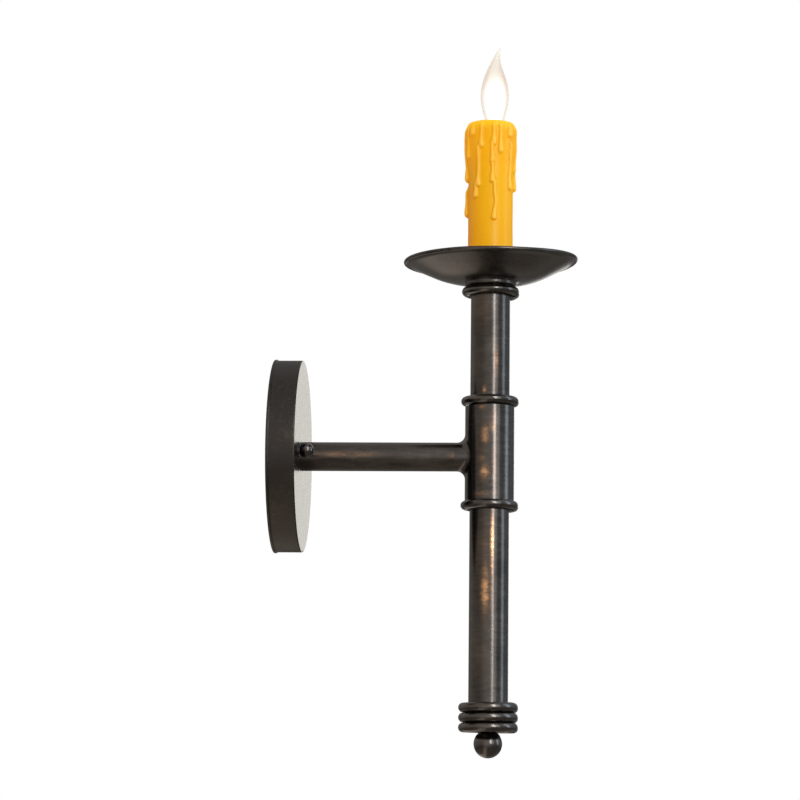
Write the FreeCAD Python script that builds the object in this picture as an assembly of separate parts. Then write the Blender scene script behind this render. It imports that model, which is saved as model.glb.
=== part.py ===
# Torch sconce: a round wall canopy, a short arm, an upright stem with a tee sleeve and bent rod
# rings, a drip pan, a wax candle cover and a flame-tip bulb.
# Frame: millimetres, +Z up, the wall is the plane y = 0 and the room lies towards -Y.
# The origin is on the wall, level with the arm's axis and midway between the strap's slots.
import FreeCAD, Part
import math
import os

Vector = FreeCAD.Vector

# ---- Driving dimensions -----------------------------------------------------------------------
# Wall canopy, a spun cup
canopy_radius = 61.8
canopy_depth = 18.1
canopy_wall = 1.2
canopy_edge_radius = 0.8
canopy_lip_height = 0.6
canopy_lip_width = 1.4

# Mounting strap and its screws
strap_end_margin = 3.05
strap_width = 19.0
strap_thickness = 2.0
strap_centre_hole_radius = 5.6
box_slot_spacing = 88.9
box_slot_width = 4.8
box_slot_length = 9.0
stud_spacing = 69.85
stud_radius = 2.05
stud_nut_across_flats = 8.7
stud_nut_height = 3.2
ground_screw_offset = 18.0
ground_screw_radius = 2.3
ground_screw_head_across_flats = 7.6
ground_screw_head_height = 3.0
ground_screw_flange_radius = 4.8
ground_screw_flange_height = 0.9

# Ball nuts on the canopy's face
nut_washer_radius = 5.2
nut_washer_thickness = 0.8
ball_nut_radius = 4.76
ball_nut_flat = 0.35
ball_nut_thread_depth = 6.4

# Arm, with the threaded nipple that holds it to the canopy
arm_radius = 9.3
arm_wall = 1.5
arm_plug_length = 11.0
nipple_radius = 5.05
nipple_bore_radius = 3.3
nipple_nut_across_flats = 14.3
nipple_nut_height = 3.2
arm_nipple_tail = 3.5
arm_nipple_length = 22.0
lockwasher_radius = 8.0
lockwasher_thickness = 0.8
lockwasher_teeth = 10
lockwasher_tooth_depth = 1.3

# Stem and tee sleeve
stem_reach = 138.2
stem_radius = 12.7
stem_wall = 1.5
stem_top = 109.0
stem_bottom = -172.2
wire_hole_radius = 4.5
sleeve_radius = 15.875
sleeve_length = 60.6
sleeve_rise = 2.15
arm_socket_length = 6.5
weld_radius = 5.3
end_plug_length = 12.0
end_plug_flange = 1.5

# Bent rod rings
ring_rod = 5.7
base_ring_rod = 6.2
ring_opening_angle = 11.0
base_ring_count = 3

# Finial under the stem
finial_stud_radius = 3.1
finial_stud_length = 15.5
finial_washer_radius = 7.0
finial_washer_thickness = 0.8
finial_ball_radius = 9.15
finial_ball_flat = 0.95
finial_thread_depth = 8.0

# Drip pan, a spun dish with a pressed seat for the candle
pan_radius = 56.35
pan_wall = 1.2
pan_rim_bead_radius = 1.2
pan_rim_height = 15.9
pan_dish_height = 3.4
pan_seat_radius = 16.6
pan_seat_corner = 1.7
pan_seat_throat = 0.9
pan_knee_radius = 28.5
pan_dish_curve = 52.0
pan_washer_radius = 9.4
pan_washer_thickness = 1.0
pan_nipple_tail = 1.6
pan_nipple_length = 19.0

# Candle cover, a wax tube with runs of dripped wax
candle_radius = 14.5
candle_bore_radius = 12.2
candle_height = 107.0
candle_offset = 0.4
candle_top_rounding = 3.6
wax_coat_thickness = 0.95
wax_coat_depth = 17.0
wax_coat_fade = 14.0
drip_proud = 0.45

# Socket on its bracket
socket_offset = 2.0
socket_radius = 9.7
socket_flat = 9.4
socket_height = 36.0
socket_recess = 6.7
socket_well_depth = 26.0
bracket_width = 8.0
bracket_thickness = 1.2
bracket_foot_radius = 8.4
bracket_overlap = 12.0
rivet_radius = 1.4
rivet_head_radius = 2.4
rivet_head_height = 0.7
rivet_depth = 2.2
rivet_pitch = 5.5
screw_shell_wall = 0.45
screw_shell_length = 20.0
screw_shell_lip = 1.6
contact_radius = 3.2
contact_thickness = 0.6
contact_pad_radius = 1.8

# Lamp bulb with a small screw base
bulb_base_radius = 5.85
bulb_base_wall = 0.35
bulb_base_length = 17.5
bulb_insulator_height = 3.0
bulb_insulator_tip_radius = 3.4
bulb_contact_radius = 2.4
bulb_contact_height = 1.3
bulb_neck_insert = 6.0
bulb_glass_wall = 0.6
bulb_height = 56.8
bulb_max_radius = 9.2
bulb_tip_lean = 2.9
mount_rod_radius = 1.9
mount_rod_height = 17.0
mount_foot_height = 1.6
lead_wire_radius = 0.3
lead_wire_spread = 2.6
lead_wire_length = 9.0
filament_radius = 0.28

# ---- Named clearances -------------------------------------------------------------------------
thread_gap = 0.05
slip_gap = 0.12
washer_gap = 0.35
through_hole_gap = 0.4
ring_gap = 0.15
stack_gap = 0.1
contact_gap = 0.3
bulb_thread_gap = 0.07

# ---- Heights and places that follow from them -------------------------------------------------
stem_axis = Vector(0, -stem_reach, 0)
stem_bore_radius = stem_radius - stem_wall
arm_bore_radius = arm_radius - arm_wall
sleeve_bottom = sleeve_rise - sleeve_length / 2
sleeve_top = sleeve_bottom + sleeve_length
arm_socket_face = stem_reach - sleeve_radius - arm_socket_length
strap_length = box_slot_spacing + box_slot_length + 2 * strap_end_margin
pan_bottom = stem_top + end_plug_flange
pan_floor = pan_bottom + pan_wall
pan_dish = pan_bottom + pan_dish_height
pan_rim = pan_bottom + pan_rim_height
candle_top = pan_floor + candle_height
socket_top = candle_top - socket_recess
socket_bottom = socket_top - socket_height
bulb_neck = socket_top + contact_gap
bulb_base_bottom = bulb_neck - bulb_base_length
bulb_insulator_bottom = bulb_base_bottom - bulb_insulator_height
bulb_contact_bottom = bulb_insulator_bottom - bulb_contact_height
socket_axis = stem_axis + Vector(0, -socket_offset, 0)
bracket_face = socket_flat - socket_offset
bracket_foot = pan_floor + pan_washer_thickness
pan_nut_bottom = bracket_foot + bracket_thickness
finial_seat = stem_bottom - end_plug_flange


# ---- Shared shapes ----------------------------------------------------------------------------
def rod(radius, bottom, top):
    """An upright round bar about the Z axis."""
    return Part.makeCylinder(radius, top - bottom, Vector(0, 0, bottom))


def tube(radius, bore, bottom, top):
    """An upright round tube about the Z axis."""
    return rod(radius, bottom, top).cut(rod(bore, bottom - 1, top + 1))


def hex_nut(across_flats, hole, bottom, top):
    """A hexagonal nut with its flats towards +Y and -Y."""
    corner = across_flats / math.sqrt(3)
    turns = [math.radians(60 * step) for step in range(7)]
    points = [Vector(corner * math.cos(turn), corner * math.sin(turn), bottom) for turn in turns]
    prism = Part.Face(Part.makePolygon(points)).extrude(Vector(0, 0, top - bottom))
    bevel = Part.makeCone(across_flats / 2 + top - bottom, across_flats / 2 - 0.1, top - bottom,
                          Vector(0, 0, bottom))
    return prism.common(bevel).cut(rod(hole, bottom - 1, top + 1))


def outline(corners):
    """A closed wire through (radius, height, rounding) corners, each rounded by its own radius."""
    points = [Vector(radius, 0, height) for radius, height, _ in corners]
    arcs = []
    for index, corner in enumerate(corners):
        here = points[index]
        back = points[index - 1].sub(here).normalize()
        ahead = points[(index + 1) % len(points)].sub(here).normalize()
        half_angle = back.getAngle(ahead) / 2
        reach = corner[2] / math.tan(half_angle)
        inset = corner[2] / math.sin(half_angle) - corner[2]
        bisector = back.add(ahead).normalize() if corner[2] else Vector()
        arcs.append((here + back * reach, here + bisector * inset, here + ahead * reach))
    edges = []
    for index, (start, middle, end) in enumerate(arcs):
        if corners[index][2]:
            edges.append(Part.Arc(start, middle, end).toShape())
        following = arcs[(index + 1) % len(arcs)][0]
        if end.distanceToPoint(following) > 1e-6:
            edges.append(Part.LineSegment(end, following).toShape())
    return Part.Wire(edges)


def turned(corners):
    """A solid turned about the Z axis from its half section."""
    return Part.Face(outline(corners)).revolve(Vector(), Vector(0, 0, 1), 360)


def off_wall(shape):
    """Turn a shape so that its +Z points out of the wall, towards -Y."""
    return shape.rotated(Vector(), Vector(1, 0, 0), 90)


def on_stem(shape):
    """Move a shape from the Z axis to the stem's axis."""
    return shape.translated(stem_axis)


def on_socket(shape):
    """Move a shape from the Z axis to the socket's axis."""
    return shape.translated(socket_axis)


def pair(shape, spacing):
    """Two copies of a shape, spaced evenly each side of the origin along X."""
    return Part.makeCompound([shape.translated(Vector(side * spacing / 2, 0, 0)) for side in (-1, 1)])


# ---- Wall side: canopy, strap, studs and nuts -------------------------------------------------
def canopy():
    """A spun cup with a rounded front edge, a small back lip and holes for nipple and studs."""
    inner_radius = canopy_radius - canopy_wall
    inner_edge = max(canopy_edge_radius - canopy_wall, 0.3)
    hole = nipple_radius + through_hole_gap
    lip_radius = canopy_radius + canopy_lip_height
    cup = turned([
        (hole, canopy_depth - canopy_wall, 0),
        (inner_radius, canopy_depth - canopy_wall, inner_edge),
        (inner_radius, 0, 0),
        (lip_radius, 0, 0.3),
        (lip_radius, canopy_lip_width, canopy_lip_height),
        (canopy_radius, canopy_lip_width + canopy_lip_height, 0),
        (canopy_radius, canopy_depth, canopy_edge_radius),
        (hole, canopy_depth, 0),
    ])
    stud_hole = rod(stud_radius + through_hole_gap, 0, canopy_depth + 1)
    return off_wall(cup.cut(pair(stud_hole, stud_spacing)))


def slot(length, width, thickness):
    """A round-ended slot along X, centred on the origin."""
    straight = length - width
    middle = Part.makeBox(straight, width, thickness, Vector(-straight / 2, -width / 2, 0))
    return middle.fuse(list(pair(rod(width / 2, 0, thickness), straight).Solids))


def mounting_strap():
    """A flat steel strap with two box slots, two tapped stud holes and a centre hole."""
    corner = Vector(-strap_length / 2, -strap_width / 2, 0)
    strap = Part.makeBox(strap_length, strap_width, strap_thickness, corner)
    uprights = [edge for edge in strap.Edges if abs(edge.tangentAt(edge.FirstParameter).z) > 0.9]
    strap = strap.makeFillet(strap_width / 4, uprights)
    box_slot = slot(box_slot_length, box_slot_width, strap_thickness)
    strap = strap.cut(pair(box_slot, box_slot_spacing))
    strap = strap.cut(pair(rod(stud_radius + thread_gap, 0, strap_thickness), stud_spacing))
    strap = strap.cut(rod(strap_centre_hole_radius, 0, strap_thickness))
    ground_hole = rod(ground_screw_radius + thread_gap, 0, strap_thickness)
    return off_wall(strap.cut(ground_hole.translated(Vector(-ground_screw_offset, 0, 0))))


def canopy_studs():
    """Two threaded studs from the strap, through the canopy, into the ball nuts."""
    tip = canopy_depth + nut_washer_thickness + ball_nut_thread_depth - contact_gap
    return off_wall(pair(rod(stud_radius, 0, tip), stud_spacing))


def stud_locknuts():
    """Two hexagonal nuts that lock the studs to the strap."""
    top = strap_thickness + stud_nut_height
    nut = hex_nut(stud_nut_across_flats, stud_radius + thread_gap, strap_thickness, top)
    return off_wall(pair(nut.rotated(Vector(), Vector(0, 0, 1), 30), stud_spacing))


def ground_screw():
    """The green earth screw in the strap: shank, flange and hexagonal head."""
    flange_top = strap_thickness + ground_screw_flange_height
    shank = rod(ground_screw_radius, 0, flange_top)
    flange = rod(ground_screw_flange_radius, strap_thickness, flange_top)
    head_top = flange_top + ground_screw_head_height
    head = hex_nut(ground_screw_head_across_flats, ground_screw_radius, flange_top, head_top)
    core = rod(ground_screw_radius, flange_top, head_top - ground_screw_flange_height)
    screw = shank.fuse([flange, head, core])
    return off_wall(screw.translated(Vector(-ground_screw_offset, 0, 0)))


def nut_washer(side):
    """The flat washer under a ball nut, loose on its stud."""
    top = canopy_depth + nut_washer_thickness
    washer = tube(nut_washer_radius, stud_radius + washer_gap, canopy_depth, top)
    return off_wall(washer.translated(Vector(side * stud_spacing / 2, 0, 0)))


def ball_nut(side):
    """A ball with a small flat and a blind tapped hole, screwed on a stud."""
    seat = canopy_depth + nut_washer_thickness
    centre = seat + ball_nut_radius - ball_nut_flat
    ball = Part.makeSphere(ball_nut_radius, Vector(0, 0, centre))
    ball = ball.cut(rod(ball_nut_radius, seat - ball_nut_radius, seat))
    ball = ball.cut(rod(stud_radius + thread_gap, seat - 1, seat + ball_nut_thread_depth))
    return off_wall(ball.translated(Vector(side * stud_spacing / 2, 0, 0)))


# ---- Arm --------------------------------------------------------------------------------------
def arm_nipple():
    """The threaded nipple through the canopy's centre hole into the arm's plug."""
    start = canopy_depth - canopy_wall - lockwasher_thickness - nipple_nut_height - arm_nipple_tail
    return off_wall(tube(nipple_radius, nipple_bore_radius, start, start + arm_nipple_length))


def arm_lockwasher():
    """A toothed lockwasher inside the canopy."""
    top = canopy_depth - canopy_wall
    washer = tube(lockwasher_radius, nipple_radius + washer_gap, top - lockwasher_thickness, top)
    gap_radius = math.pi * lockwasher_radius / lockwasher_teeth / 2
    gap = rod(gap_radius, top - lockwasher_thickness - 1, top + 1)
    gap_centre = lockwasher_radius + gap_radius - lockwasher_tooth_depth
    turns = [360 * tooth / lockwasher_teeth for tooth in range(lockwasher_teeth)]
    gap = gap.translated(Vector(gap_centre, 0, 0))
    gaps = [gap.rotated(Vector(), Vector(0, 0, 1), turn) for turn in turns]
    return off_wall(washer.cut(gaps))


def arm_locknut():
    """The hexagonal nut that draws the arm against the canopy."""
    top = canopy_depth - canopy_wall - lockwasher_thickness
    nut = hex_nut(nipple_nut_across_flats, nipple_radius + thread_gap, top - nipple_nut_height, top)
    return off_wall(nut)


def arm_end_plug():
    """The tapped plug brazed into the arm's wall end."""
    end = canopy_depth + arm_plug_length
    return off_wall(tube(arm_bore_radius - thread_gap, nipple_radius + thread_gap, canopy_depth, end))


def arm_tube():
    """The arm, from the canopy's face to the tee's socket."""
    return off_wall(tube(arm_radius, arm_bore_radius, canopy_depth, arm_socket_face))


# ---- Stem, tee and rings ----------------------------------------------------------------------
def tee_sleeve():
    """A sleeve round the stem, with the arm's socket blended in by a ground weld."""
    sleeve = rod(sleeve_radius, sleeve_bottom, sleeve_top)
    socket = Part.makeCylinder(arm_radius, sleeve_radius + arm_socket_length, Vector(), Vector(0, 1, 0))
    tee = sleeve.fuse(socket)
    saddle = [edge for edge in tee.Edges if not isinstance(edge.Curve, (Part.Line, Part.Circle))]
    weld = min(weld_radius, 0.85 * (sleeve_radius - arm_radius))
    tee = tee.makeFillet(weld, saddle)
    bore_length = sleeve_radius + arm_socket_length + 1
    arm_bore = Part.makeCylinder(arm_bore_radius, bore_length, Vector(), Vector(0, 1, 0))
    tee = tee.cut(arm_bore)
    return on_stem(tee.cut(rod(stem_radius + slip_gap, sleeve_bottom - 1, sleeve_top + 1)))


def stem_tube():
    """The upright tube, with a wire hole opposite the arm."""
    stem = tube(stem_radius, stem_bore_radius, stem_bottom, stem_top)
    wire_hole = Part.makeCylinder(wire_hole_radius, 2 * stem_radius, Vector(), Vector(0, 1, 0))
    return on_stem(stem.cut(wire_hole))


def end_plug(hole, face, direction):
    """A tapped plug in one end of the stem, with a flange over the tube's end."""
    outer_face = face + direction * end_plug_flange
    inner_face = face - direction * end_plug_length
    flange = rod(stem_radius, min(face, outer_face), max(face, outer_face))
    spigot = rod(stem_bore_radius - thread_gap, min(face, inner_face), max(face, inner_face))
    plug = flange.fuse(spigot).removeSplitter()
    return on_stem(plug.cut(rod(hole, inner_face - 30, inner_face + 30)))


def stem_cap():
    """The plug in the stem's top, tapped for the pan's nipple."""
    return end_plug(nipple_radius + thread_gap, stem_top, 1)


def base_plug():
    """The plug in the stem's foot, tapped for the finial's stud."""
    return end_plug(finial_stud_radius + thread_gap, stem_bottom, -1)


def bent_ring(rod_diameter, height, near_rise, far_drop):
    """A ring bent from round rod, open away from the wall, its two ends a little out of line.

    The ring is two half turns from the wall side, each tipped about the rod's tangent there.
    """
    bend = stem_radius + ring_gap + rod_diameter / 2
    wall_side = Vector(0, bend, height)
    circle = Part.Circle(wall_side, Vector(1, 0, 0), rod_diameter / 2)
    section = Part.Face(Part.Wire(circle.toShape()))
    sweep = 180 - ring_opening_angle / 2
    near_half = section.revolve(Vector(), Vector(0, 0, 1), sweep)
    far_half = section.revolve(Vector(), Vector(0, 0, 1), -sweep)
    near_tip = -math.degrees(math.asin(near_rise / (2 * bend)))
    far_tip = math.degrees(math.asin(far_drop / (2 * bend)))
    near_half = near_half.rotated(wall_side, Vector(1, 0, 0), near_tip)
    far_half = far_half.rotated(wall_side, Vector(1, 0, 0), far_tip)
    return on_stem(near_half.fuse(far_half))


def tee_ring_upper():
    """The ring on the sleeve's top end."""
    far_drop = 0.5
    return bent_ring(ring_rod, sleeve_top + ring_rod / 2 + far_drop + stack_gap, 0.2, far_drop)


def tee_ring_lower():
    """The ring under the sleeve's bottom end."""
    near_rise = 0.1
    return bent_ring(ring_rod, sleeve_bottom - ring_rod / 2 - near_rise - stack_gap, near_rise, 1.0)


def collar_ring():
    """The ring under the drip pan."""
    return bent_ring(ring_rod, pan_bottom - ring_rod / 2 - stack_gap, 0.0, 1.5)


def base_ring(index):
    """One of the stacked rings at the stem's foot, counted from the lowest."""
    pitch = base_ring_rod + stack_gap
    lowest = finial_seat - 1.9 + base_ring_rod / 2
    return bent_ring(base_ring_rod, lowest + index * pitch, 0.4, 0.4)


# ---- Finial -----------------------------------------------------------------------------------
def finial_stud():
    """The threaded stud from the base plug into the finial."""
    bottom = finial_seat - finial_washer_thickness - finial_thread_depth + contact_gap
    return on_stem(rod(finial_stud_radius, bottom, bottom + finial_stud_length))


def finial_washer():
    """The washer between the base plug and the finial."""
    bottom = finial_seat - finial_washer_thickness
    return on_stem(tube(finial_washer_radius, finial_stud_radius + washer_gap, bottom, finial_seat))


def finial_ball():
    """The ball finial, with a flat top and a blind tapped hole."""
    seat = finial_seat - finial_washer_thickness
    centre = seat - finial_ball_radius + finial_ball_flat
    ball = Part.makeSphere(finial_ball_radius, Vector(0, 0, centre))
    ball = ball.cut(rod(finial_ball_radius, seat, seat + finial_ball_radius))
    return on_stem(ball.cut(rod(finial_stud_radius + thread_gap, seat - finial_thread_depth, seat + 1)))


# ---- Drip pan and what clamps it --------------------------------------------------------------
def drip_pan():
    """A spun dish: a pressed seat, a curved floor, a flared side and a rolled rim."""
    bead_centre = pan_radius - pan_rim_bead_radius
    across = bead_centre - pan_knee_radius
    up = pan_rim - pan_dish
    slope = math.atan2(up, across) - math.asin(pan_wall / 2 / math.hypot(across, up))
    half_x = pan_wall / 2 * math.sin(slope)
    half_z = pan_wall / 2 * math.cos(slope)
    inner_knee = pan_knee_radius - pan_wall * math.tan(slope / 2)
    hole = nipple_radius + through_hole_gap
    dish = turned([
        (hole, pan_bottom, 0),
        (pan_seat_radius, pan_bottom, pan_seat_corner),
        (pan_seat_radius, pan_dish, pan_seat_throat),
        (pan_knee_radius, pan_dish, pan_dish_curve),
        (bead_centre + half_x, pan_rim - half_z, 0),
        (bead_centre - half_x, pan_rim + half_z, 0),
        (inner_knee, pan_dish + pan_wall, pan_dish_curve - pan_wall),
        (pan_seat_radius - pan_wall, pan_dish + pan_wall, pan_seat_throat + pan_wall),
        (pan_seat_radius - pan_wall, pan_floor, pan_seat_corner - pan_wall),
        (hole, pan_floor, 0),
    ])
    bead = Part.makeTorus(bead_centre, pan_rim_bead_radius, Vector(0, 0, pan_rim))
    return on_stem(dish.fuse(bead))


def pan_nipple():
    """The threaded nipple that clamps the pan and the socket's bracket to the stem."""
    top = pan_nut_bottom + nipple_nut_height + pan_nipple_tail
    return on_stem(tube(nipple_radius, nipple_bore_radius, top - pan_nipple_length, top))


def pan_washer():
    """The washer on the pan's floor."""
    return on_stem(tube(pan_washer_radius, nipple_radius + washer_gap, pan_floor, bracket_foot))


def pan_locknut():
    """The hexagonal nut over the bracket's foot, one flat towards the bracket's leg."""
    top = pan_nut_bottom + nipple_nut_height
    nut = hex_nut(nipple_nut_across_flats, nipple_radius + thread_gap, pan_nut_bottom, top)
    return on_stem(nut)


# ---- Socket -----------------------------------------------------------------------------------
def socket_bracket():
    """An L-shaped steel strip: a foot on the nipple and a leg up the wall side of the socket."""
    foot_top = bracket_foot + bracket_thickness
    leg_height = socket_bottom + bracket_overlap - bracket_foot
    corner = Vector(-bracket_width / 2, bracket_face, bracket_foot)
    leg = Part.makeBox(bracket_width, bracket_thickness, leg_height, corner)
    foot = rod(bracket_foot_radius, bracket_foot, foot_top)
    foot = foot.common(Part.makeBox(40, 20 + bracket_face, 20, Vector(-20, -20, bracket_foot - 1)))
    bracket = foot.fuse(leg).removeSplitter()
    bracket = bracket.cut(rod(nipple_radius + washer_gap, bracket_foot - 1, foot_top + 1))
    for height in rivet_heights():
        hole = Part.makeCylinder(rivet_radius + thread_gap, 2 * bracket_thickness,
                                 Vector(0, bracket_face, height), Vector(0, 1, 0))
        bracket = bracket.cut(hole)
    return on_stem(bracket)


def rivet_heights():
    """The heights of the two rivets, in the solid foot of the socket."""
    middle = socket_bottom + (socket_height - socket_well_depth) / 2
    return [middle - rivet_pitch / 2, middle + rivet_pitch / 2]


def socket_rivets():
    """Two rivets that hold the socket to its bracket."""
    rivets = []
    outside = bracket_face + bracket_thickness
    for height in rivet_heights():
        start = Vector(0, bracket_face - rivet_depth, height)
        shank = Part.makeCylinder(rivet_radius, rivet_depth + bracket_thickness, start, Vector(0, 1, 0))
        head = Part.makeCylinder(rivet_head_radius, rivet_head_height, Vector(0, outside, height),
                                 Vector(0, 1, 0))
        rivets.append(shank.fuse(head))
    return on_stem(Part.makeCompound(rivets))


def socket_body():
    """The moulded socket: a round body with a flat for the bracket and a well for the shell."""
    body = rod(socket_radius, socket_bottom, socket_top)
    rim = [edge for edge in body.Edges if isinstance(edge.Curve, Part.Circle)]
    body = body.makeFillet(0.8, rim)
    well = bulb_base_radius + bulb_thread_gap + screw_shell_wall + slip_gap
    body = body.cut(rod(well, socket_top - socket_well_depth, socket_top + 1))
    flat = Part.makeBox(40, 20, socket_height + 2, Vector(-20, socket_flat, socket_bottom - 1))
    body = on_socket(body.cut(flat))
    for height in rivet_heights():
        start = Vector(0, bracket_face - rivet_depth - contact_gap, height)
        hole = Part.makeCylinder(rivet_radius + thread_gap, 2 * rivet_depth, start, Vector(0, 1, 0))
        body = body.cut(on_stem(hole))
    return body


def socket_screw_shell():
    """The brass screw shell in the socket's well, with a turned-in lip at its foot."""
    bottom = socket_top - socket_well_depth
    inner = bulb_base_radius + bulb_thread_gap
    outer = inner + screw_shell_wall
    shell = turned([
        (inner - screw_shell_lip, bottom, 0),
        (outer, bottom, 0),
        (outer, bottom + screw_shell_length, 0),
        (inner, bottom + screw_shell_length, 0),
        (inner, bottom + screw_shell_wall, 0),
        (inner - screw_shell_lip, bottom + screw_shell_wall, 0),
    ])
    return on_socket(shell)


def socket_contact():
    """The brass centre contact, with a raised pad just under the bulb's own contact."""
    bottom = socket_top - socket_well_depth
    disc = rod(contact_radius, bottom, bottom + contact_thickness)
    pad = rod(contact_pad_radius, bottom, bulb_contact_bottom - contact_gap)
    return on_socket(disc.fuse(pad))


# ---- Candle cover -----------------------------------------------------------------------------
# Each run of wax: angle round the candle in degrees, from the side that faces -X towards the side
# away from the wall; how far below the candle's top it starts and ends; and its half width.
wax_runs = [
    (-86, 6.0, 39.5, 1.9),
    (-89, 46.0, 62.5, 1.95),
    (-64, 5.5, 25.0, 1.2),
    (-47, 5.5, 10.5, 1.3),
    (-30, 19.0, 44.5, 1.3),
    (-38, 42.0, 51.5, 1.2),
    (-21, 5.0, 19.0, 1.2),
    (4, 16.5, 29.0, 1.2),
    (6, 30.0, 42.0, 1.2),
    (9, 5.0, 17.5, 1.2),
    (12, 42.0, 66.5, 1.3),
    (26, 5.0, 22.5, 1.3),
    (53, 5.5, 11.5, 1.5),
    (57, 16.0, 46.0, 1.4),
    (88, 5.5, 33.5, 1.5),
    (92, 33.5, 45.5, 1.7),
    (109, 5.5, 24.0, 1.2),
    (128, 5.5, 52.0, 1.4),
    (146, 5.5, 30.0, 1.3),
    (163, 5.5, 18.5, 1.3),
    (182, 5.5, 60.0, 1.5),
    (201, 5.5, 27.0, 1.2),
    (222, 5.5, 38.0, 1.4),
    (246, 5.5, 20.0, 1.3),
]


def wax_run(angle, start, end, half_width):
    """One run of wax: a tapering upright ridge that ends in a drop."""
    drop_radius = 1.2 * half_width
    drop_centre = candle_top - end + drop_radius
    ridge = Part.makeCone(half_width, 0.8 * half_width, candle_top - start - drop_centre,
                          Vector(0, 0, drop_centre))
    drop = Part.makeSphere(drop_radius, Vector(0, 0, drop_centre))
    turn = math.radians(angle)
    reach = candle_radius + drip_proud
    return ridge.fuse(drop).translated(Vector(-reach * math.cos(turn), -reach * math.sin(turn), 0))


def candle_cover():
    """The wax tube: a plain lower tube, a thicker melted top and runs of dripped wax."""
    coat_radius = candle_radius + wax_coat_thickness
    coat_end = candle_top - wax_coat_depth
    cover = turned([
        (candle_bore_radius - 1, pan_floor, 0),
        (candle_radius, pan_floor, 0),
        (candle_radius, coat_end - wax_coat_fade, 40.0),
        (coat_radius, coat_end, 40.0),
        (coat_radius, candle_top, candle_top_rounding - 1),
        (candle_bore_radius - 1, candle_top, 0),
    ])
    cover = cover.fuse([wax_run(*run) for run in wax_runs])
    cover = cover.cut(rod(candle_bore_radius, pan_floor - 1, candle_top + 1))
    return on_stem(cover.translated(Vector(0, candle_offset, 0)))


# ---- Bulb -------------------------------------------------------------------------------------
# The glass's outline: height as a share of bulb_height, radius as a share of bulb_max_radius and
# the lean of the flame's tip as a share of bulb_tip_lean.
flame_outline = [
    (0.00, 0.600, 0.0),
    (0.11, 0.605, 0.0),
    (0.20, 0.735, 0.0),
    (0.29, 0.890, 0.0),
    (0.43, 1.000, 0.0),
    (0.56, 0.925, 0.0),
    (0.68, 0.715, 0.0),
    (0.79, 0.450, 0.07),
    (0.87, 0.275, 0.30),
    (0.94, 0.150, 0.65),
    (1.00, 0.070, 1.0),
]


def flame(inset, bottom, sections):
    """A lofted flame shape, drawn in from the glass's outside by inset."""
    wires = []
    for height, share, lean in sections:
        centre = Vector(0, -lean * bulb_tip_lean, bottom + height * bulb_height)
        radius = share * bulb_max_radius - inset
        wires.append(Part.Wire(Part.Circle(centre, Vector(0, 0, 1), radius).toShape()))
    return Part.makeLoft(wires, True, False)


def bulb_glass():
    """The glass: a thin flame-shaped envelope whose neck reaches into the screw base."""
    neck = bulb_base_radius - bulb_base_wall - thread_gap
    outer = flame(0, bulb_neck, flame_outline)
    outer = outer.fuse(rod(neck, bulb_neck - bulb_neck_insert, bulb_neck))
    inner = flame(bulb_glass_wall, bulb_neck, flame_outline[:-2])
    inner = inner.fuse(rod(neck - bulb_glass_wall, bulb_neck - bulb_neck_insert - 1, bulb_neck))
    return on_socket(outer.cut(inner))


def bulb_base_shell():
    """The bulb's screw base, a thin metal cup."""
    shell = rod(bulb_base_radius, bulb_base_bottom, bulb_neck)
    inside = rod(bulb_base_radius - bulb_base_wall, bulb_base_bottom + bulb_base_wall, bulb_neck + 1)
    shell = shell.cut(inside)
    return on_socket(shell.cut(rod(bulb_insulator_tip_radius, bulb_base_bottom - 1, bulb_neck)))


def bulb_base_insulator():
    """The black glass cone between the base's shell and its contact."""
    cone = Part.makeCone(bulb_insulator_tip_radius, bulb_base_radius - 0.4, bulb_insulator_height,
                         Vector(0, 0, bulb_insulator_bottom))
    return on_socket(cone)


def bulb_contact():
    """The bulb's centre contact."""
    contact = turned([
        (0, bulb_contact_bottom, 0),
        (bulb_contact_radius, bulb_contact_bottom, 0.6),
        (bulb_contact_radius, bulb_insulator_bottom, 0),
        (0, bulb_insulator_bottom, 0),
    ])
    return on_socket(contact)


def bulb_mount():
    """The glass stem inside the bulb, which closes the neck and carries the lead wires."""
    foot_bottom = bulb_neck - bulb_neck_insert
    foot_radius = bulb_base_radius - bulb_base_wall - bulb_glass_wall - 2 * thread_gap
    foot_top = foot_bottom + mount_foot_height
    mount = turned([
        (0, foot_bottom, 0),
        (foot_radius, foot_bottom, 0),
        (foot_radius, foot_top, 0),
        (mount_rod_radius, foot_top + 2 * mount_foot_height, 2.0),
        (mount_rod_radius, foot_top + mount_rod_height, 0),
        (0, foot_top + mount_rod_height, 0),
    ])
    return on_socket(mount)


def lead_wire_points():
    """The foot and head of the lead wire on the +X side."""
    foot_height = bulb_neck - bulb_neck_insert + mount_foot_height + mount_rod_height
    foot = Vector(mount_rod_radius - 2 * lead_wire_radius, 0, foot_height)
    head = Vector(lead_wire_spread, 0, foot_height + lead_wire_length)
    return foot, head


def bulb_lead_wires():
    """Two thin wires that stand on the mount and hold the filament."""
    foot, head = lead_wire_points()
    wires = []
    for side in (-1, 1):
        low = Vector(side * foot.x, 0, foot.z)
        high = Vector(side * head.x, 0, head.z)
        path = Part.Wire(Part.LineSegment(low, high).toShape())
        circle = Part.Wire(Part.Circle(low, Vector(0, 0, 1), lead_wire_radius).toShape())
        wires.append(path.makePipeShell([circle], True, False))
    return on_socket(Part.makeCompound(wires))


def bulb_filament():
    """The filament, a half ring from one lead wire's head to the other's."""
    _, head = lead_wire_points()
    circle = Part.Circle(head, Vector(0, 0, 1), filament_radius)
    section = Part.Face(Part.Wire(circle.toShape()))
    return on_socket(section.revolve(Vector(0, 0, head.z), Vector(0, 1, 0), -180))


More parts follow.
